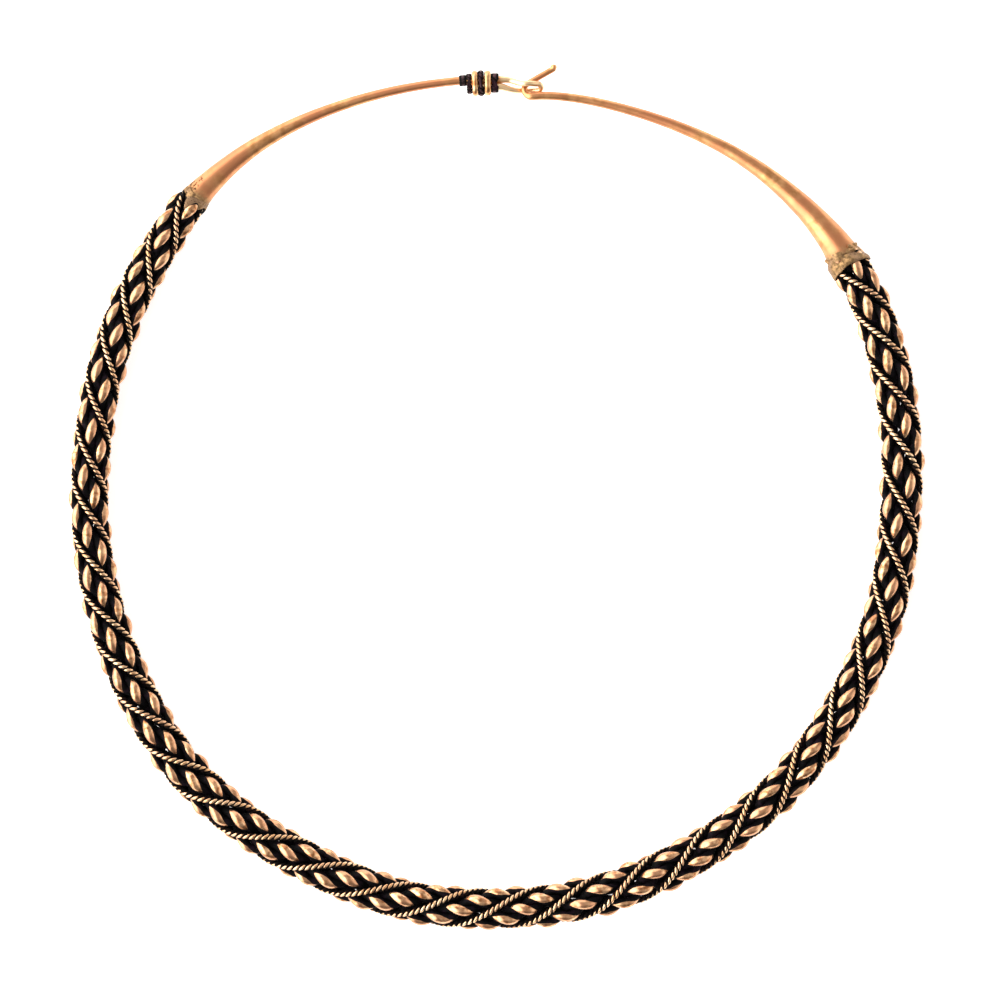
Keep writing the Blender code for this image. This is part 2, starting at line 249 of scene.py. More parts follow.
@dataclass
class RingLine:
    """The ring's hand-bent centre line, as the solids have it."""

    radius: float = 72.3 * MM
    bend: Stations = (
        (89.0, 1.0000), (98.0, 1.0008), (105.0, 1.0036), (112.0, 1.0088), (119.0, 1.0156),
        (126.0, 1.0208), (132.0, 1.0206), (138.0, 1.0168), (144.0, 1.0066), (150.0, 1.0006),
        (157.0, 0.9945), (172.0, 0.9843), (184.0, 0.9853), (196.0, 0.9887), (209.0, 0.9981),
        (221.0, 1.0099), (232.0, 1.0094), (244.0, 1.0078), (259.0, 1.0147), (269.0, 1.0111),
        (284.0, 1.0103), (299.0, 1.0033), (315.0, 0.9994), (333.0, 0.9904), (343.0, 0.9885),
        (355.0, 0.9835), (366.0, 0.9910), (378.0, 1.0050), (389.0, 1.0187), (398.0, 1.0210),
        (406.0, 1.0152), (414.0, 1.0060), (423.0, 0.9912), (430.0, 0.9815), (441.0, 0.9710),
        (446.0, 0.9605),
    )
    braid_start: float = 135.5
    braid_end: float = 394.5
    middle: Vector = field(default_factory=Vector)  # where the line's own centre is in the frame

    def point(self, angle: float) -> Vector:
        """Gives the line's point at an angle."""
        radius = self.radius * smooth(self.bend, angle)
        turn = math.radians(angle)
        return self.middle + Vector((radius * math.cos(turn), radius * math.sin(turn), 0.0))

    def frame(self, angle: float) -> tuple[Vector, Vector, Vector]:
        """Gives the line's point, its direction as the angle grows, and the direction outward from it."""
        step = 0.05
        along = (self.point(angle + step) - self.point(angle - step)).normalized()
        return self.point(angle), along, along.cross(UP)

    def lengths(self, first: float, last: float, step: float = 0.5) -> list[tuple[float, float]]:
        """Measures the line.

        Args:
            first: the angle to start from.
            last: the angle to end at.
            step: degrees between two stations.

        Returns:
            Lengths from the start, each with its angle.
        """
        count = round(abs(last - first) / step)
        table = [(0.0, first)]
        for index in range(1, count + 1):
            angle = first + (last - first) * index / count
            table.append((table[-1][0] + (self.point(angle) - self.point(table[-1][1])).length, angle))
        return table


def angle_at(table: Sequence[tuple[float, float]], length: float) -> float:
    """Gives the angle at a length along a table of lengths, also a little before its start."""
    index = min(max(bisect_right(table, (length, math.inf)) - 1, 0), len(table) - 2)
    (start, first), (end, last) = table[index], table[index + 1]
    return first + (last - first) * (length - start) / (end - start)


def bar_rings(points: Sequence[Vector], radii: Sequence[float], sides: int) -> list[list[Vector]]:
    """Works out the rings of a round bar along a path, as the solids' bars are made.

    Args:
        points: the path.
        radii: the bar's radius at each point.
        sides: how many points each ring has.

    Returns:
        One ring of points for each point of the path.
    """
    last = len(points) - 1
    across = (points[1] - points[0]).cross(UP).normalized()
    rings = []
    for index, (point, radius) in enumerate(zip(points, radii)):
        along = (points[min(index + 1, last)] - points[max(index - 1, 0)]).normalized()
        across = (across - along * across.dot(along)).normalized()
        other = along.cross(across)
        ring = []
        for side in range(sides):
            turn = math.tau * (side + 0.5) / sides
            ring.append(point + radius * (math.cos(turn) * across + math.sin(turn) * other))
        rings.append(ring)
    return rings


def make_object(name: str, mesh: bpy.types.Mesh) -> bpy.types.Object:
    """Puts a mesh in the scene as an object at the origin."""
    piece = bpy.data.objects.new(name, mesh)
    bpy.context.scene.collection.objects.link(piece)
    return piece


def skin(name: str, rings: Sequence[Sequence[Vector]], material: bpy.types.Material) -> bpy.types.Object:
    """Makes one closed smooth piece through rings of points.

    Args:
        name: the piece's name.
        rings: rings with the same number of points, in order along the piece.
        material: its material.

    Returns:
        The piece, with a cap at either end.
    """
    sides = len(rings[0])
    points = [point for ring in rings for point in ring]
    faces = []
    for index in range(len(rings) - 1):
        low, high = index * sides, (index + 1) * sides
        for side in range(sides):
            after = (side + 1) % sides
            faces.append((low + side, low + after, high + after, high + side))
    faces.append(tuple(reversed(range(sides))))
    faces.append(tuple(range(len(points) - sides, len(points))))
    mesh = bpy.data.meshes.new(name)
    mesh.from_pydata(points, [], faces)
    mesh.materials.append(material)
    mesh.shade_smooth()
    mesh.validate()
    return make_object(name, mesh)


def dress(piece: bpy.types.Object, slot: str, *nodes: str) -> None:
    """Ties a finished piece to the frame.

    Args:
        piece: the piece.
        slot: the name of a material slot; not used.
        *nodes: the solids that it stands for.
    """
    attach(piece, "root")
    if nodes:
        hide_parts(*nodes)
    LOG.info("%s: %d faces, for %s", piece.name, len(piece.data.polygons), ", ".join(nodes) or "no solid")


@dataclass(frozen=True)
class BronzeFinish:
    """Bronze with its dark patina, rubbed bright where a neck, a hand or a cloth reaches it.

    Each piece carries how far it is rubbed as its polish attribute: the metal is bright above 0 and keeps
    its film below 0, and grain of a real size frays the edge between them. Where polish passes well over 1,
    a pale highlight is painted into the colour. Where a piece's soldered attribute passes a half, solder
    covers it.
    """

    name: str
    bright: str  # colour of the rubbed metal
    worn: str  # its darker patches
    blush: str  # its broad redder patches
    patina: str  # colour of the dark film in the hollows
    tinge: str  # what the film turns to in spots
    bright_roughness: float = 0.24
    patina_roughness: float = 0.72
    film_gloss: float = 0.12
    patch_size: float = 2.2 * MM
    blush_size: float = 3.1  # in patches
    grain_size: float = 0.35 * MM
    grain_depth: float = 0.005 * MM
    fray: float = 0.16  # how far the grain moves the film's edge, in the same units as polish
    edge: float = 0.05  # and how soft the edge is
    solder_edge: float = 0.05  # how soft the solder's edge is
    painted_highlight: str = "F4CFA2"  # painted highlight: where polish passes well over 1, the metal is painted paler, for the light that the eye catches
    solder_pale: str = "B08B61"
    solder_dark: str = "84684A"

    def make(self) -> bpy.types.Material:
        """Builds the material.

        Returns:
            A Principled metal whose colour, roughness and relief come from noise in object coordinates.
        """
        material = bpy.data.materials.new(self.name)
        material.use_nodes = True
        tree = material.node_tree
        shader = tree.nodes["Principled BSDF"]
        shader.inputs["Specular IOR Level"].default_value = self.film_gloss
        place = add_node(tree, "ShaderNodeTexCoord").outputs["Object"]
        sources = {}
        for key, size, detail in (
            ("broad", self.blush_size * self.patch_size, 2.0),
            ("patch", self.patch_size, 3.0),
            ("grain", self.grain_size, 4.0),
        ):
            inputs = {"Vector": place, "Scale": 1 / size, "Detail": detail}
            sources[key] = add_node(tree, "ShaderNodeTexNoise", inputs).outputs["Fac"]
        swing = add_node(tree, "ShaderNodeMath", {0: sources["grain"], 1: -0.5}, operation="ADD").outputs[0]
        for key in ("polish", "soldered"):
            sources[key] = add_node(tree, "ShaderNodeAttribute", attribute_name=key).outputs["Fac"]
            inputs = {0: swing, 1: self.fray, 2: sources[key]}
            frayed = add_node(tree, "ShaderNodeMath", inputs, operation="MULTIPLY_ADD").outputs[0]
            sources[f"frayed {key}"] = frayed
        masks = {}
        for key, source, low, high in (
            ("worn", "patch", 0.41, 0.62),
            ("blush", "broad", 0.42, 0.62),
            # painted highlight: polish well over 1 mixes in the pale highlight colour
            ("painted_highlight", "polish", 1.1, 1.6),
            ("tinge", "patch", 0.50, 0.68),
            ("solder", "grain", 0.38, 0.62),
            ("rubbed", "frayed polish", -self.edge, self.edge),
            ("soldered", "frayed soldered", SOLDERED - self.solder_edge, SOLDERED + self.solder_edge),
        ):
            inputs = {"Value": sources[source], "From Min": low, "From Max": high}
            masks[key] = add_node(tree, "ShaderNodeMapRange", inputs).outputs["Result"]

        colours = {}
        for key, low, high in (
            ("worn", self.bright, self.worn),
            ("blush", "worn", self.blush),
            ("painted_highlight", "blush", self.painted_highlight),
            ("tinge", self.patina, self.tinge),
            ("solder", self.solder_dark, self.solder_pale),
        ):
            low = colours[low] if low in colours else linear(low)
            inputs = {"Factor": masks[key], "A": low, "B": linear(high)}
            colours[key] = add_node(tree, "ShaderNodeMix", inputs, data_type="RGBA").outputs["Result"]
        for target, kind, low, high, over in (
            ("Base Color", "RGBA", colours["tinge"], colours["painted_highlight"], colours["solder"]),
            ("Metallic", "FLOAT", 0.0, 1.0, 0.8),
            ("Roughness", "FLOAT", self.patina_roughness, self.bright_roughness, 0.5),
        ):
            inputs = {"Factor": masks["rubbed"], "A": low, "B": high}
            rubbed = add_node(tree, "ShaderNodeMix", inputs, data_type=kind).outputs["Result"]
            inputs = {"Factor": masks["soldered"], "A": rubbed, "B": over}
            shown = add_node(tree, "ShaderNodeMix", inputs, data_type=kind).outputs["Result"]
            tree.links.new(shown, shader.inputs[target])
        inputs = {"Height": sources["grain"], "Distance": self.grain_depth, "Strength": 1.0}
        bump = add_node(tree, "ShaderNodeBump", inputs).outputs["Normal"]
        tree.links.new(bump, shader.inputs["Normal"])
        return material


def wire_tree() -> bpy.types.NodeTree:
    """Builds the Geometry Nodes tree that lays twisted round wires beside a spine.

    The spine's points carry the directions outward and sideways, the length reach, the share thickness, and
    as shade how much of the crowns' polish is lost. The wires' common axis lies at the lay radius outward of
    the spine, and they twist round that axis.

    Returns:
        The tree. Its result carries polish: 1 on the middle of each crown, where a wire faces outward, and
        falling through 0 on a line shaped as a leaf round it. The leaf lies askew on the wire, as rubbing
        wears most what stands furthest from the spine.
    """
    tree = bpy.data.node_groups.new("Twisted wires", "GeometryNodeTree")
    for name, kind in WIRE_INPUTS.items():
        tree.interface.new_socket(name, in_out="INPUT", socket_type=f"NodeSocket{kind}")
    tree.interface.new_socket("Mesh", in_out="OUTPUT", socket_type="NodeSocketGeometry")
    known = dict(add_node(tree, "NodeGroupInput").outputs.items())
    for name, kind in SPINE_LAYERS.items():
        reader = add_node(tree, "GeometryNodeInputNamedAttribute", {"Name": name}, data_type=kind)
        known[name] = reader.outputs["Attribute"]
    known["place"] = add_node(tree, "GeometryNodeInputPosition").outputs[0]
    curve = add_node(tree, "GeometryNodeMeshToCurve", {"Mesh": known["Spine"]}).outputs["Curve"]
    inputs = {"Geometry": curve, "Amount": known["Wires"]}
    copies = add_node(tree, "GeometryNodeDuplicateElements", inputs, domain="SPLINE").outputs
    known["copy"] = copies["Duplicate Index"]

    # The clouds that the waves follow, and what is kept of the wires' lines from before they move and sweep
    clouds = {}
    for name, scale in (("turning cloud", 1.0), ("sizing cloud", 1.31)):
        clouds[name] = add_node(tree, "ShaderNodeTexNoise", {"Scale": scale}, noise_dimensions="1D")
        known[name] = clouds[name].outputs["Fac"]
    before = add_node(tree, "GeometryNodeCaptureAttribute", {"Geometry": copies["Geometry"]})
    moved = add_node(tree, "GeometryNodeSetPosition", {"Geometry": before.outputs["Geometry"]})
    kept = add_node(tree, "GeometryNodeCaptureAttribute", {"Geometry": moved.outputs["Geometry"]})
    captures = (
        (before, "VECTOR", "Spine place", "place"),
        (kept, "VECTOR", "Axis", "place"),
        (kept, "VECTOR", "Outward", "outward"),
        (kept, "VECTOR", "Sideways", "sideways"),
        (kept, "FLOAT", "Fade", "fade"),
        (kept, "FLOAT", "Lean", "lean"),
    )
    for capture, kind, name, _ in captures:
        capture.capture_items.new(kind, name)
    for capture, _, name, _ in captures:
        known[name] = capture.outputs[name]

    for name, kind, operation, *terms in WIRE_SUMS:
        inputs = {index: known.get(term, term) for index, term in enumerate(terms)}
        outputs = add_node(tree, kind, inputs, operation=operation).outputs
        known[name] = outputs["Value" if kind == MATH or operation == "DOT_PRODUCT" else "Vector"]
    for cloud in clouds.values():
        tree.links.new(known["line"], cloud.inputs["W"])
    for capture, _, name, value in captures:
        tree.links.new(known[value], capture.inputs[name])
    tree.links.new(known["offset"], moved.inputs["Offset"])

    inputs = {"Curve": kept.outputs["Geometry"], "Radius": known["radius"]}
    sized = add_node(tree, "GeometryNodeSetCurveRadius", inputs).outputs["Curve"]
    inputs = {"Resolution": known["Sides"], "Radius": known["Wire radius"]}
    profile = add_node(tree, "GeometryNodeCurvePrimitiveCircle", inputs).outputs["Curve"]
    inputs = {"Curve": sized, "Profile Curve": profile, "Fill Caps": True}
    swept = add_node(tree, "GeometryNodeCurveToMesh", inputs).outputs["Mesh"]
    inputs = {"Geometry": swept, "Name": "polish", "Value": known["polish"]}
    stored = add_node(tree, "GeometryNodeStoreNamedAttribute", inputs, data_type="FLOAT", domain="POINT")
    geometry = stored.outputs["Geometry"]
    for kind, more in (
        ("GeometryNodeSetPosition", {"Offset": known["press"]}),
        ("GeometryNodeSetShadeSmooth", {}),
        ("GeometryNodeRealizeInstances", {}),
        ("GeometryNodeSetMaterial", {"Material": known["Material"]}),
    ):
        geometry = add_node(tree, kind, {"Geometry": geometry, **more}).outputs["Geometry"]
    add_node(tree, "NodeGroupOutput", {"Mesh": geometry})
    return tree


@dataclass
class Spine:
    """A line with what the wire tree reads at each of its points."""

    points: list[Vector] = field(default_factory=list)
    outward: list[Vector] = field(default_factory=list)
    sideways: list[Vector] = field(default_factory=list)
    reach: list[float] = field(default_factory=list)
    thickness: list[float] = field(default_factory=list)
    shade: list[float] = field(default_factory=list)
    soldered: list[float] = field(default_factory=list)
    closed: bool = False

    def wires(self, name: str, tree: bpy.types.NodeTree, values: dict) -> bpy.types.Object:
        """Lays wires along the line.

        Args:
            name: the piece's name.
            tree: the wire tree.
            values: its inputs, by name.

        Returns:
            The wires as one plain mesh.
        """
        count = len(self.points)
        edges = [(index, (index + 1) % count) for index in range(count if self.closed else count - 1)]
        mesh = bpy.data.meshes.new(name)
        mesh.from_pydata(self.points, edges, [])
        for key, kind in (*SPINE_LAYERS.items(), ("soldered", "FLOAT")):
            layer = mesh.attributes.new(key, kind, "POINT")
            numbers = getattr(self, key)
            if kind == "FLOAT_VECTOR":
                layer.data.foreach_set("vector", [number for vector in numbers for number in vector])
            else:
                layer.data.foreach_set("value", numbers)
        carrier = make_object(name, mesh)
        modifier = carrier.modifiers.new("Wires", "NODES")
        modifier.node_group = tree
        for socket in tree.interface.items_tree:
            if socket.in_out == "INPUT" and socket.name in values:
                modifier[socket.identifier] = values[socket.name]
        graph = bpy.context.evaluated_depsgraph_get()
        result = bpy.data.meshes.new_from_object(
            carrier.evaluated_get(graph), preserve_all_data_layers=True, depsgraph=graph
        )
        carrier.modifiers.remove(modifier)
        carrier.data = result
        for key in SPINE_LAYERS:
            result.attributes.remove(result.attributes[key])
        return carrier


@dataclass
class Braid:
    """The six thick wires in three strands, and the three fine ropes in the grooves between them."""

    ring: RingLine
    strands: int = 3
    wire_diameter: float = 1.8 * MM
    rope_diameter: float = 1.26 * MM
    strand_gap: float = 0.0
    rope_depth: float = 0.30 * MM
    wire_lay: float = 6.4 * MM  # one turn of the two wires of a strand
    rope_lay: float = 1.84 * MM  # one turn of the two wires of a rope
    # The strands lie looser at some places: the braid's thickness, by the share of its length
    thickness: Stations = (
        (0.0, 0.71), (0.01, 0.83), (0.03, 0.90), (0.1, 0.95), (0.2, 0.955),
        (0.3, 1.04), (0.42, 1.02), (0.52, 1.01), (0.58, 1.05), (0.7, 0.99),
        (0.8, 1.02), (0.89, 1.06), (1.0, 0.94),
    )
    rope_passes: Stations = (
        (139.5, 0.0), (168.2, 4.0), (197.8, 8.0), (227.9, 12.0), (261.1, 16.0),
        (296.6, 20.0), (333.4, 24.0), (366.5, 28.0), (389.1, 31.0),
    )
    first_crowns: tuple[float, ...] = (8.7 * MM, 16.6 * MM, 25.3 * MM)
    tuck: float = 0.5 * MM  # the wires run on this far under the arms' rims
    solder_run: float = 0.6 * MM  # the solder creeps this far along the wires
    dark_run: float = 2.6 * MM  # the film is whole at the left arm and gone this far along
    strand_flats: int = 20  # points for each turn of a strand's wires
    rope_flats: int = 11
    wire_sides: int = 18
    thread_sides: int = 10

    @property
    def lay_radius(self) -> float:
        """The strands' axes lie this far from the ring's centre line."""
        return (2 * self.wire_diameter + self.strand_gap) / (2 * math.sin(math.pi / self.strands))

    @property
    def full_radius(self) -> float:
        """The braid's outermost surface."""
        return self.lay_radius + self.wire_diameter

    def spine(self, spacing: float, lead: float) -> Spine:
        """Measures out the braid's centre line, for one strand or rope.

        Args:
            spacing: the length between two points.
            lead: the share of a turn round the ring by which the strand or rope is ahead.

        Returns:
            The line from the left arm to the right one, the long way round.
        """
        table = self.ring.lengths(self.ring.braid_start, self.ring.braid_end)
        total = table[-1][0]
        count = round((total + 2 * self.tuck) / spacing)
        spine = Spine()
        for index in range(count + 1):
            reach = (total + 2 * self.tuck) * index / count - self.tuck
            angle = angle_at(table, reach)
            point, _, out = self.ring.frame(angle)
            passes = smooth(self.rope_passes, angle) / self.strands
            lay = math.pi / 2 + math.tau * (passes + lead)
            spine.points.append(point)
            spine.outward.append(out * math.cos(lay) + UP * math.sin(lay))
            spine.sideways.append(UP * math.cos(lay) - out * math.sin(lay))
            spine.thickness.append(smooth(self.thickness, min(max(reach / total, 0.0), 1.0)))
            spine.reach.append(reach)
            spine.shade.append(ramp(1.0 - reach / self.dark_run))
            spine.soldered.append(1.0 - SOLDERED * min(reach, total - reach) / self.solder_run)
        return spine

    def build(self, tree: bpy.types.NodeTree, wire: bpy.types.Material, thread: bpy.types.Material) -> None:
        """Builds the strands and the ropes.

        Args:
            tree: the wire tree.
            wire: the thick wires' material.
            thread: the fine wires' material.
        """
        rope_axis = self.full_radius - self.rope_depth - self.rope_diameter / 2
        for number in range(self.strands):
            spine = self.spine(self.wire_lay / self.strand_flats, (number + 0.5) / self.strands)
            strand = spine.wires(
                f"strand_of_two_wires_{number + 1}",
                tree,
                {
                    "Wires": 2,
                    "Sides": self.wire_sides,
                    "Wire radius": self.wire_diameter / 2,
                    "Lay radius": self.lay_radius,
                    "Twist radius": self.wire_diameter / 2,
                    "Twist length": self.wire_lay,
                    "Twist start": self.first_crowns[number],
                    "Twist hand": Hand.RIGHT.value,
                    "Flatness": 1.0,
                    "Phase wobble": 0.5,
                    "Size wobble": 0.02,
                    "Wobble length": 19 * MM,
                    "Seed": 3.1 * (number + 1),
                    "Crown half turn": math.radians(103),
                    "Crown half width": math.radians(76),
                    "Crown sharpness": 1.6,
                    "Crown skew": 0.36,
                    "Material": wire,
                },
            )
            dress(strand, "wire_bronze", f"strand_{number + 1}")
            spine = self.spine(self.rope_lay / self.rope_flats, number / self.strands)
            rope = spine.wires(
                f"rope_of_two_threads_{number + 1}",
                tree,
                {
                    "Wires": 2,
                    "Sides": self.thread_sides,
                    "Wire radius": self.rope_diameter / 4,
                    "Lay radius": rope_axis,
                    "Twist radius": self.rope_diameter / 4,
                    "Twist length": self.rope_lay,
                    "Twist start": 0.0,
                    "Twist hand": Hand.LEFT.value,
                    "Flatness": 1.0,
                    "Phase wobble": 0.6,
                    "Size wobble": 0.03,
                    "Wobble length": 9 * MM,
                    "Seed": 40 + 3.1 * number,
                    "Crown half turn": math.radians(77),
                    "Crown half width": math.radians(36),
                    "Crown sharpness": 1.8,
                    "Crown skew": 0.8,
                    "Material": thread,
                },
            )
            dress(rope, "rope_bronze", f"groove_rope_{number + 1}")


@dataclass(frozen=True)
class Arm:
    """One arm's numbers, from the braid to the end of its rod."""

    face: float  # the angle where the braid ends
    root: float  # the angle where the rod ends, at the root of the eye or the hook
    end: float  # its diameter beside the braid
    flare: float  # the length over which the extra thickness falls to about a third
    rim: float  # how far up the arm from the braid's end its rim's middle lies
    slant: float  # how much further up the arm the rim's inner side lies than its middle
    pitting: float  # how pitted its outer edge is beside the braid


@dataclass
class Clasp:
    """The two arms with the eye and the hook at their ends, and the binding on the left rod."""

    ring: RingLine
    left: Arm = Arm(
        RingLine.braid_start, root=89.5, end=5.0 * MM, flare=16.5 * MM, rim=-0.05 * MM, slant=0.46 * MM,
        pitting=0.50,
    )
    right: Arm = Arm(
        RingLine.braid_end, root=444.8, end=5.9 * MM, flare=19.0 * MM, rim=-0.43 * MM, slant=0.72 * MM,
        pitting=0.25,
    )
    rod_diameter: float = 1.42 * MM
    braid_gap: float = 0.3 * MM
    solid_step: float = 4.5 * MM
    solid_crowding: float = 1.25
    solid_sides: int = 8
    eye_wire: float = 1.0 * MM
    eye_root_wire: float = 1.26 * MM  # thicker where its legs leave the binding and touch
    eye_root_run: float = 2.4 * MM
    eye_length: float = 7.4 * MM
    eye_drop: float = 0.70 * MM
    eye_half_width: float = 0.78 * MM
    eye_end_gap: float = 0.16 * MM
    clasp_gap: float = 0.2 * MM
    eye_widest_at: float = 0.28
    eye_closed_at: float = 0.56
    eye_dropped_at: float = 0.6
    eye_crossing: float = 0.66
    eye_parting: float = 0.42
    eye_tail: float = 5.0 * MM
    eye_bend_step: int = 20
    hook_wire: float = 1.05 * MM
    hook_bend_radius: float = 1.2 * MM
    hook_tip_heading: float = 27.0
    hook_tip_length: float = 5.2 * MM
    hook_tip_diameter: float = 1.08 * MM
    hook_curl_length: float = 0.8 * MM
    hook_curl: float = 46.0
    hook_curl_shape: Stations = ((0.3, 1.0), (0.55, 1.0), (0.75, 0.9), (0.9, 0.7), (1.0, 0.4))
    hook_steps: int = 15
    tip_steps: int = 8
    hook_thinning: float = 60.0
    hook_lift: float = 0.30 * MM
    hook_fall: float = 0.25 * MM
    hook_rise_length: float = 9.0 * MM
    binding_gap: float = 0.02 * MM
    binding_lap: float = 0.10 * MM  # a twisted turn reaches this far into the next one's hollows
    # The binding's turns from the eye's root, each with its width along the rod and its thickness
    turns: tuple[tuple[str, float, float], ...] = (
        ("binding_rope_4", 1.46 * MM, 0.40 * MM),
        ("binding_wire_2", 1.18 * MM, 0.88 * MM),
        ("binding_rope_3", 1.14 * MM, 0.94 * MM),
        ("binding_wire_1", 1.08 * MM, 0.91 * MM),
        ("binding_rope_2", 0.96 * MM, 0.48 * MM),
        ("binding_rope_1", 1.34 * MM, 0.26 * MM),
    )
    sides: int = 56
    step: float = 0.35 * MM
    pit_run: float = 6.0 * MM  # the arms are pitted this far from the braid
    rim_run: float = 3.0 * MM  # the rim's slant is lost this far up the arm
    bare_polish: float = 0.5
    highlight_polish: float = 1.1  # polish added to paint the pale highlight on the eye, over so many points
    highlight_points: int = 10
    rim_solder: float = 0.95  # how much of the arms solder covers at their rims
    solder_loss: float = 0.42 / MM  # and how much less for each metre up the arm
    dents: Stations = ((2.6 * MM, 0.012), (0.9 * MM, 0.005))  # their size, and depth in radii
    turn_twists: int = 8  # twists of the wires in each turn of the binding, or one more
    loop_points: int = 96

    @property
    def rod_radius(self) -> float:
        """Half the rods' thickness."""
        return self.rod_diameter / 2

    @property
    def eye_radius(self) -> float:
        """Half the eye wire's thickness."""
        return self.eye_wire / 2

    @property
    def tail_offset(self) -> float:
        """The bent-back wire's axis lies this far from the rod's."""
        return self.rod_radius + self.eye_radius + self.binding_gap

    @property
    def hook_rise(self) -> float:
        """The right rod lies this far above the ring's middle where it meets the eye."""
        return self.hook_lift + self.rod_radius - self.hook_wire / 2

    def arm_path(self, arm: Arm, solid: bool = False) -> tuple[list[Vector], list[float]]:
        """Works out an arm from its rim to the end of its rod.

        Args:
            arm: its numbers.
            solid: whether the points are the solid's and not ones that stand close.

        Returns:
            The points of its axis, and the radius at each.
        """
        table = self.ring.lengths(arm.face, arm.root)
        total = table[-1][0]
        left = math.exp(-total / arm.flare)  # of the flare, at the rod's end
        start = self.braid_gap if solid else arm.rim
        count = round(total / (self.solid_step if solid else self.step))
        crowding = self.solid_crowding if solid else 1.0
        points = []
        radii = []
        for index in range(count + 1):
            reach = start + (total - start) * (index / count) ** crowding
            points.append(self.ring.point(angle_at(table, reach)))
            swell = (math.exp(-reach / arm.flare) - left) / (1 - left)
            radii.append((self.rod_diameter + (arm.end - self.rod_diameter) * swell) / 2)
        return points, radii

    def left_corner(self) -> tuple[float, float]:
        """Works out where the left arm's solid begins, as the ring line now lies.

        Returns:
            The lowest x and the lowest y of its thick end.
        """
        ring = bar_rings(*self.arm_path(self.left, solid=True), self.solid_sides)[0]
        return min(point.x for point in ring), min(point.y for point in ring)

    def eye_path(self) -> list[Vector]:
        """Works out the eye's wire, out along the upper leg and back to its end under the binding."""
        root = self.ring.point(self.left.root)
        out = (root - self.ring.middle).normalized()
        onward = out.cross(UP)
        end_half = self.eye_radius + self.eye_end_gap / 2
        pass_half = self.eye_radius + self.hook_wire / 2 + self.clasp_gap
        root_half = self.tail_offset / 2
        bend_start = self.eye_length - end_half

        def leg(distance: float, side: float) -> Vector:
            """Gives a point of the upper leg where side is 1, and of the lower where it is -1."""
            share = distance / self.eye_length
            opening = ramp(share / self.eye_widest_at)
            closing = ramp((share - self.eye_widest_at) / (self.eye_closed_at - self.eye_widest_at))
            half = (
                root_half
                + (self.eye_half_width - root_half) * opening
                + (end_half - self.eye_half_width) * closing
            )
            middle = -root_half - self.eye_drop * ramp(share / self.eye_dropped_at)
            lift = pass_half * ramp(1.0 - abs(share - self.eye_crossing) / self.eye_parting)
            return root + onward * distance + out * (middle + side * half) + UP * (side * lift)

        count = round(bend_start / (self.step / 2))
        places = [bend_start * (index + 1) / count for index in range(count)]
        points = [leg(place, 1.0) for place in places]
        middle = (leg(bend_start, 1.0) + leg(bend_start, -1.0)) / 2
        for turn in range(self.eye_bend_step, 180, self.eye_bend_step):
            angle = math.radians(turn)
            across = (leg(bend_start, 1.0) - middle) * math.cos(angle)
            points.append(middle + across + onward * end_half * math.sin(angle))
        points += [leg(place, -1.0) for place in reversed(places)]
        end, _, end_out = self.ring.frame(self.left.root + math.degrees(self.eye_tail / self.ring.radius))
        tail = end - end_out * self.tail_offset
        start = leg(0.0, -1.0)
        points += [start.lerp(tail, share / 4) for share in range(5)]
        return points

    def hook_path(self) -> tuple[list[Vector], list[float]]:
        """Works out the hook: a bend, a straight tip and a short curl at its end."""
        root, along, out = self.ring.frame(self.right.root)
        bend = 180.0 - self.hook_tip_heading
        centre = root + out * self.hook_bend_radius
        hook_radius = self.hook_wire / 2
        tip_radius = self.hook_tip_diameter / 2

        def heading(degrees: float) -> Vector:
            """Gives a direction in the ring's plane, turned from straight back towards outward."""
            return math.sin(math.radians(degrees)) * out - math.cos(math.radians(degrees)) * along

        points = []
        radii = []
        for step in range(1, self.hook_steps + 1):
            turn = bend * step / self.hook_steps
            spoke = math.sin(math.radians(turn)) * along - math.cos(math.radians(turn)) * out
            height = self.hook_rise - (self.hook_rise + self.hook_fall) * turn / bend
            points.append(centre + spoke * self.hook_bend_radius + UP * height)
            radii.append(self.rod_radius + (hook_radius - self.rod_radius) * ramp(turn / self.hook_thinning))
        start = points[-1]
        for step in range(1, self.tip_steps + 1):
            share = step / self.tip_steps
            points.append(start + heading(self.hook_tip_heading) * self.hook_tip_length * share)
            radii.append(hook_radius + (tip_radius - hook_radius) * share)
        start = points[-1]
        curl_way = heading(self.hook_tip_heading + self.hook_curl)
        for share, width in self.hook_curl_shape:
            points.append(start + curl_way * self.hook_curl_length * share)
            radii.append(tip_radius * width)
        return points, radii

    def bar(
        self,
        name: str,
        arm: Arm,
        points: list[Vector],
        radii: list[float],
        painted_highlight: int,
        material: bpy.types.Material,
    ) -> bpy.types.Object:
        """Makes an arm with the marks of the hammer on it.

        Args:
            name: the piece's name.
            arm: its numbers.
            points: its axis, from its thick end.
            radii: its radius at each point.
            painted_highlight: the point from which a pale highlight is painted on it, for the light that its
                eye catches.
            material: its bronze.

        Returns:
            The piece, with its polish and the share that solder covers.
        """
        rings = bar_rings(points, radii, self.sides)
        along = (points[1] - points[0]).normalized()
        reach = 0.0
        polish = []
        soldered = []
        for index, ring in enumerate(rings):
            if index:
                reach += (points[index] - points[index - 1]).length
            out = (points[index] - self.ring.middle).normalized()
            pitted = arm.pitting * math.exp(-((reach / self.pit_run) ** 2))
            shift = arm.slant * ramp(1.0 - reach / self.rim_run)
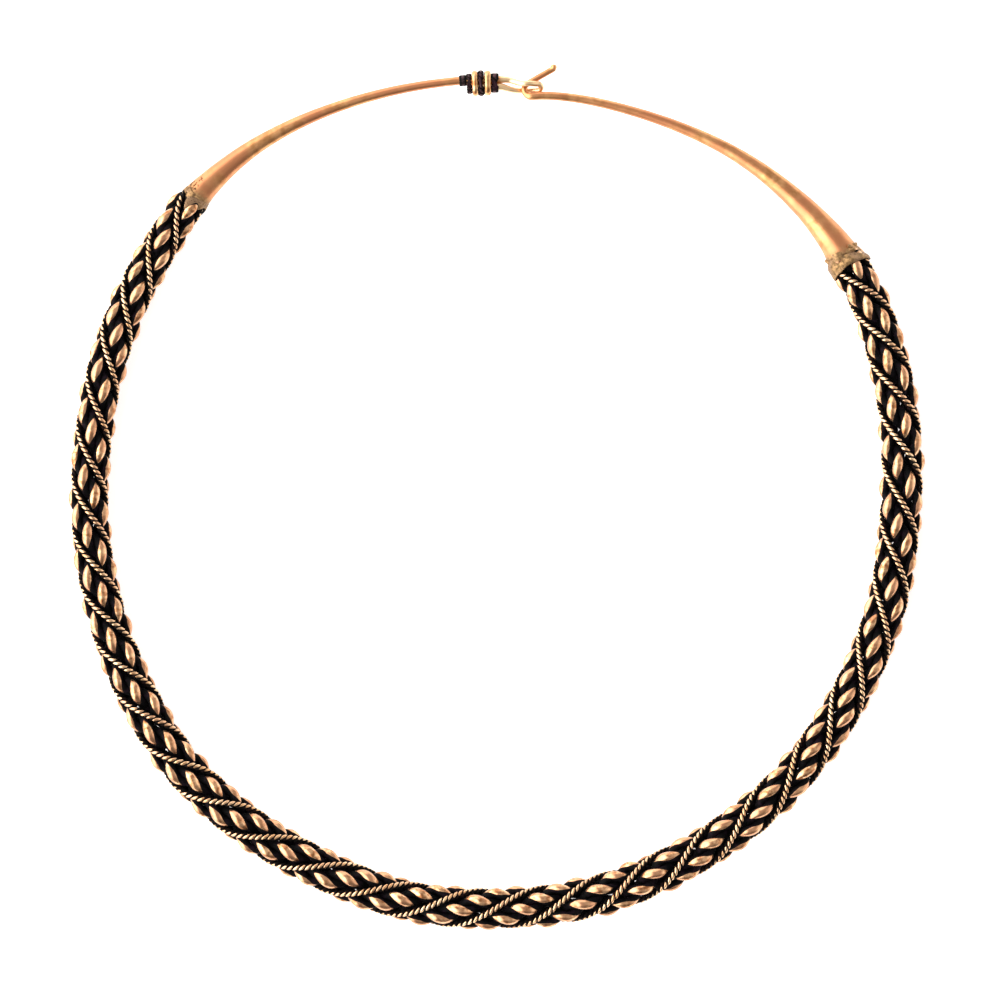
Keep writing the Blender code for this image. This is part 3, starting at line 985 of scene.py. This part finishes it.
            # painted highlight: polish rises well over 1 from that point, and the finish paints the metal
            # pale there
            shine = self.bare_polish + self.highlight_polish * ramp((index - painted_highlight) / self.highlight_points)
            for number, corner in enumerate(ring):
                spoke = corner - points[index]
                side = spoke.normalized().dot(out)
                polish.append(shine - pitted * ramp(0.5 + side))
                soldered.append(max(self.rim_solder - self.solder_loss * reach, 0.0))
                dent = sum(noise.noise(corner / size) * depth for size, depth in self.dents)
                dent *= ramp(reach / self.rim_run)
                ring[number] = points[index] + spoke * (1.0 + dent) - along * (shift * side)
        piece = skin(name, rings, material)
        for key, values in (("polish", polish), ("soldered", soldered)):
            piece.data.attributes.new(key, "FLOAT", "POINT").data.foreach_set("value", values)
        return piece

    def build_arms(self, material: bpy.types.Material) -> None:
        """Builds both arms.

        Args:
            material: their bronze.
        """
        points, radii = self.arm_path(self.left)
        thinning = round(self.solid_step / self.step)
        for index in range(thinning):
            share = (thinning - index) / (thinning + 1)
            radii[-1 - index] += (self.eye_root_wire / 2 - radii[-1 - index]) * share
        # the pale painted highlight starts near the rod's end and covers the eye
        painted_highlight = len(points) - thinning // 2
        root = points[-1]
        onward = (root - self.ring.middle).cross(UP).normalized()
        for point in self.eye_path():
            swell = ramp(1.0 - (point - root).dot(onward) / self.eye_root_run)
            points.append(point)
            radii.append(self.eye_radius + (self.eye_root_wire - self.eye_wire) / 2 * swell)
        piece = self.bar("left_arm_and_eye", self.left, points, radii, painted_highlight, material)
        dress(piece, "arm_bronze", "left_arm_with_eye")

        points, radii = self.arm_path(self.right)
        root = points[-1]
        for point in points:
            point += UP * self.hook_rise * ramp(1.0 - (root - point).length / self.hook_rise_length)
        hook_points, hook_radii = self.hook_path()
        points += hook_points
        radii += hook_radii
        piece = self.bar("right_arm_and_hook", self.right, points, radii, len(points), material)
        dress(piece, "arm_bronze", "right_arm_with_hook")

    def build_binding(
        self, tree: bpy.types.NodeTree, dark: bpy.types.Material, bright: bpy.types.Material
    ) -> None:
        """Builds the turns of twisted and of plain wire round the left rod.

        Args:
            tree: the wire tree.
            dark: the twisted wire's material.
            bright: the plain wire's material.
        """
        edge = self.binding_gap
        for number, (node, width, thickness) in enumerate(self.turns):
            plain = "wire" in node
            spine = self.loop(edge + width / 2, width, thickness)
            edge += width + self.binding_gap - (0.0 if plain else self.binding_lap)
            radius = width / 2 if plain else width / 4
            piece = spine.wires(
                node.replace("binding_rope", "dark_turn").replace("binding_wire", "bright_turn"),
                tree,
                {
                    "Wires": 1 if plain else 2,
                    "Sides": 24 if plain else 16,
                    "Wire radius": radius,
                    "Lay radius": 0.0,
                    "Twist radius": 0.0 if plain else radius,
                    "Twist length": spine.reach[-1] / (self.turn_twists + number % 2),
                    "Twist start": 0.3 * MM * number,
                    "Twist hand": Hand.LEFT.value,
                    "Flatness": thickness / width,
                    "Phase wobble": 0.0,
                    "Size wobble": 0.0,
                    "Wobble length": 5 * MM,
                    "Seed": 80 + number,
                    "Crown half turn": math.tau if plain else math.radians(60),
                    "Crown half width": math.tau if plain else math.radians(30),
                    "Crown sharpness": 1.6,
                    "Crown skew": 0.0,
                    "Material": bright if plain else dark,
                },
            )
            dress(piece, "bright_binding" if plain else "dark_binding", node)

    def loop(self, distance: float, width: float, thickness: float) -> Spine:
        """Works out one turn of the binding.

        Args:
            distance: its place along the rod from the eye's root.
            width: its width along the rod.
            thickness: how far it stands out.

        Returns:
            A closed line round the rod and, where it reaches, the bent-back wire beside it. Its last reach
            is the line's whole length.
        """
        place, along, out = self.ring.frame(self.left.root + math.degrees(distance / self.ring.radius))
        half = self.tail_offset / 2 if distance - width / 2 < self.eye_tail else 0.0
        around = max(self.rod_radius, self.eye_radius) + self.binding_gap + thickness / 2
        middle = place - out * half
        count = self.loop_points
        spine = Spine(closed=True)
        reach = 0.0
        for index in range(count):
            angle = -math.tau * (index + 0.5) / count
            outward = out * math.cos(angle) + UP * math.sin(angle)
            point = middle + out * math.copysign(half, math.cos(angle)) + outward * around
            if spine.points:
                reach += (point - spine.points[-1]).length
            spine.points.append(point)
            spine.outward.append(outward)
            spine.sideways.append(along)
            spine.thickness.append(1.0)
            spine.reach.append(reach)
            spine.shade.append(0.0)
            spine.soldered.append(0.0)
        closing = (spine.points[0] - spine.points[-1]).length
        spine.reach = [value * (1.0 + closing / reach) * (count - 1) / count for value in spine.reach]
        return spine


@dataclass
class Solder:
    """A thin collar of solder, run over an arm's rim and down the ends of the braid's wires."""

    clasp: Clasp
    side: Side
    runs: Stations  # how far it runs down from the rim, by the angle from the arm's outer side over its top
    back: float = 0.35 * MM  # how far it reaches up the arm
    film: float = 0.05 * MM
    lobe_run: float = 1.6 * MM  # where it runs as far as this, it lies on the wires and not between them
    curl: float = 0.7 * MM  # how far its edge turns in between the wires
    bulge: float = 0.4  # how far it bulges on before that, in curls
    bulge_rate: float = 1.3  # the bulge is over before the turn by this factor
    rise_rate: float = 3.0  # its film and its lumps rise over the first of so many parts of its run
    sink: float = 2.0  # its upper edge starts this far under its surface, in films
    edge_shade: float = 0.2  # polish lost on the edge that turns in
    ripple: float = 0.35 * MM
    ripple_size: float = 1.3 * MM
    lump: float = 0.022
    lump_size: float = 0.8 * MM
    polish: float = 0.05
    sides: int = 144
    rows: int = 22
    curl_rows: int = 7

    def build(self, braid: Braid, material: bpy.types.Material) -> None:
        """Builds the collar.

        Args:
            braid: the braid whose wires it holds.
            material: the solder.
        """
        ring = self.clasp.ring
        left = self.side is Side.LEFT
        arm = self.clasp.left if left else self.clasp.right
        thick = arm.end / 2
        taper = (thick - self.clasp.rod_radius) / arm.flare
        wires = braid.full_radius * smooth(braid.thickness, 0.0 if left else 1.0)
        rings = []
        polish = []
        for row in range(self.rows + self.curl_rows + 1):
            loop = []
            for number in range(self.sides):
                turn = math.tau * number / self.sides * self.side.value
                run = smooth(self.runs, math.degrees(turn) % 360.0)
                rim = Vector((math.cos(turn), math.sin(turn), self.side.value)) * thick
                edge = run + self.ripple * noise.noise(rim / self.ripple_size)
                reach = -self.back + (self.back + edge) * min(row / self.rows, 1.0)
                radius = thick + min(reach, 0.0) * taper + self.film
                radius += (wires - thick) * ramp(reach / self.lobe_run) * ramp(run / self.lobe_run)
                rise = ramp(self.rise_rate * row / self.rows)
                inward = max(row - self.rows, 0) / self.curl_rows
                radius -= self.film * (1.0 - rise) * self.sink + self.curl * inward * inward
                reach += self.bulge * self.curl * math.sin(math.pi * min(self.bulge_rate * inward, 1.0))
                reach += arm.slant * math.cos(turn) - arm.rim
                centre, _, out = ring.frame(arm.face - self.side.value * math.degrees(reach / ring.radius))
                spoke = math.cos(turn) * out + math.sin(turn) * UP
                bump = noise.noise((centre + radius * spoke) / self.lump_size) * self.lump
                loop.append(centre + radius * (1.0 + bump * rise) * spoke)
                polish.append(self.polish - self.edge_shade * inward)
            rings.append(loop)
        piece = skin(f"{self.side.name.lower()}_solder_collar", rings, material)
        piece.data.attributes.new("polish", "FLOAT", "POINT").data.foreach_set("value", polish)
        dress(piece, "arm_bronze")


@dataclass
class Studio:
    """The pale floor, the bright walls of a light tent and the camera straight above."""

    ring: RingLine
    pixel: float = 0.1754 * MM
    image_size: int = 1000
    ring_pixel: tuple[float, float] = (495.3, 491.7)  # the ring line's middle in the photograph
    camera_height: float = 1.1
    sensor: float = 36.0
    floor_half: float = 1.5
    floor_glow: float = 0.62
    room: float = 0.62  # brightness of the ceiling
    # Each wall: the direction towards it, where its light begins and is full, and how much it adds
    walls: tuple[tuple[tuple[float, float, float], float, float, float], ...] = (
        ((-0.90, -0.10, 0.32), 0.46, 0.84, 3.4),
        ((-0.40, 0.88, 0.05), 0.62, 0.92, 1.6),
        ((0.95, 0.10, 0.10), 0.70, 0.96, 0.7),
        ((0.25, -0.96, 0.20), 0.40, 0.90, -0.34),
    )

    def build_floor(self) -> None:
        """Lays a broad pale floor under the ring."""
        half = self.floor_half
        corners = [(-half, -half, 0.0), (half, -half, 0.0), (half, half, 0.0), (-half, half, 0.0)]
        mesh = bpy.data.meshes.new("floor")
        mesh.from_pydata(corners, [], [(0, 1, 2, 3)])
        floor = make_object("floor", mesh)
        material = bpy.data.materials.new("White_acrylic_floor")
        material.use_nodes = True
        shader = material.node_tree.nodes["Principled BSDF"]
        shader.inputs["Base Color"].default_value = linear("F4F4F4")
        shader.inputs["Roughness"].default_value = 0.7
        shader.inputs["Emission Color"].default_value = linear("FFFFFF")
        shader.inputs["Emission Strength"].default_value = self.floor_glow
        mesh.materials.append(material)

    def build_tent(self) -> None:
        """Lights the room: an even ceiling, a bright wall at the left, dimmer ones round the rest."""
        world = bpy.data.worlds.new("Light_tent")
        world.use_nodes = True
        tree = world.node_tree
        view = add_node(tree, "ShaderNodeTexCoord").outputs["Generated"]
        strength = self.room
        for way, low, high, amount in self.walls:
            inputs = {0: view, 1: Vector(way).normalized()}
            facing = add_node(tree, "ShaderNodeVectorMath", inputs, operation="DOT_PRODUCT").outputs["Value"]
            inputs = {"Value": facing, "From Min": low, "From Max": high, "To Max": amount}
            glow = add_node(
                tree, "ShaderNodeMapRange", inputs, interpolation_type="SMOOTHSTEP"
            ).outputs["Result"]
            strength = add_node(tree, "ShaderNodeMath", {0: glow, 1: strength}, operation="ADD").outputs[0]
        background = tree.nodes["Background"]
        background.inputs["Color"].default_value = linear("FFFDF8")
        tree.links.new(strength, background.inputs["Strength"])
        bpy.context.scene.world = world

    def build(self) -> None:
        """Builds the floor, the lights and the camera."""
        self.build_floor()
        self.build_tent()
        scene = bpy.context.scene
        scene.view_settings.view_transform = "Standard"
        scene.view_settings.look = "None"
        half = self.image_size / 2
        aside, down = (half - place for place in self.ring_pixel)
        centre = self.ring.middle + Vector((aside * self.pixel, -down * self.pixel, 0.0))
        data = bpy.data.cameras.new("camera")
        data.sensor_width = self.sensor
        data.lens = self.sensor * (self.camera_height - centre.z) / (self.image_size * self.pixel)
        camera = bpy.data.objects.new("camera", data)
        camera.location = (centre.x, centre.y, self.camera_height)
        scene.collection.objects.link(camera)
        scene.camera = camera


def main() -> None:
    """Loads the frame and builds every piece of the torc, then the studio round it."""
    logging.basicConfig(level=logging.INFO, format="%(name)s: %(message)s")
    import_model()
    ring = RingLine()
    clasp = Clasp(ring)
    low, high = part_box("left_arm_with_eye")
    corner = clasp.left_corner()
    ring.middle = Vector((low.x - corner[0], low.y - corner[1], (low.z + high.z) / 2))
    LOG.info("ring centre at %s", tuple(round(value, 6) for value in ring.middle))

    # Drawn bronze wire, blackened all over and then rubbed: satin orange crowns with a soft cream light.
    wire = BronzeFinish(
        "Drawn_bronze_wire_with_black_patina",
        "F1BF93", "A86F48", "D29B77", "030203", "180B16",
        patch_size=0.9 * MM,
    ).make()
    # Fine drawn wire, twisted in pairs: a bright spot on each turn, reddish brown film between.
    thread = BronzeFinish(
        "Twisted_bronze_thread", "F6CFA6", "D6A274", "E0AE88", "080302", "1E0C0A", grain_size=0.2 * MM
    ).make()
    # Cast and hammered bronze, polished by wear: smooth, mottled orange and tan, small dark pits. On the
    # rod's end and the eye, a pale cream highlight is painted on.
    arm = BronzeFinish(
        "Hammered_bronze_with_brown_patina",
        "DFA572", "BC8454", "CC8860", "4A2C18", "6B4424",
        bright_roughness=0.34,
        patch_size=1.6 * MM,
        grain_size=0.5 * MM,
        fray=0.9,
        solder_edge=0.3,
    ).make()
    # Brass solder that ran and was never cleaned: dull, lumpy, olive and grey brown.
    solder = BronzeFinish(
        "Brass_solder",
        "B08B61", "745C3E", "9A7B60", "3A2C20", "4C3A2A",
        bright_roughness=0.52,
        patch_size=0.8 * MM,
        grain_size=0.25 * MM,
        fray=0.4,
    ).make()
    # Thin twisted wire under a thick black film: only a few dull glints.
    dark = BronzeFinish(
        "Blackened_twisted_wire", "584A4E", "34282C", "4C3236", "050304", "301420", grain_size=0.3 * MM
    ).make()
    # Plain bronze wire, polished by the hand that opens the ring: pale, with a brown hollow here and there.
    bright = BronzeFinish(
        "Polished_bronze_wire", "EFC08E", "B47A4C", "D8A070", "5A3A26", "7A5236", patch_size=0.9 * MM
    ).make()

    tree = wire_tree()
    braid = Braid(ring)
    braid.build(tree, wire, thread)
    clasp.build_arms(arm)
    clasp.build_binding(tree, dark, bright)
    left_runs = (
        (0.0, -0.15 * MM), (44.0, -0.20 * MM), (62.0, -0.12 * MM), (74.0, 1.2 * MM),
        (88.0, 2.4 * MM), (106.0, 2.3 * MM), (143.0, 1.1 * MM), (180.0, 0.3 * MM),
        (270.0, 0.9 * MM), (360.0, -0.15 * MM),
    )
    right_runs = (
        (0.0, 1.9 * MM), (45.0, 1.5 * MM), (90.0, 1.7 * MM), (115.0, 2.2 * MM),
        (150.0, 3.0 * MM), (180.0, 3.5 * MM), (270.0, 2.2 * MM), (360.0, 1.9 * MM),
    )
    Solder(clasp, Side.LEFT, left_runs, film=0.09 * MM, lump=0.015).build(braid, solder)
    Solder(clasp, Side.RIGHT, right_runs, film=0.11 * MM, ripple=0.2 * MM, lump=0.012).build(braid, solder)
    Studio(ring).build()


if __name__ == "__main__":
    main()
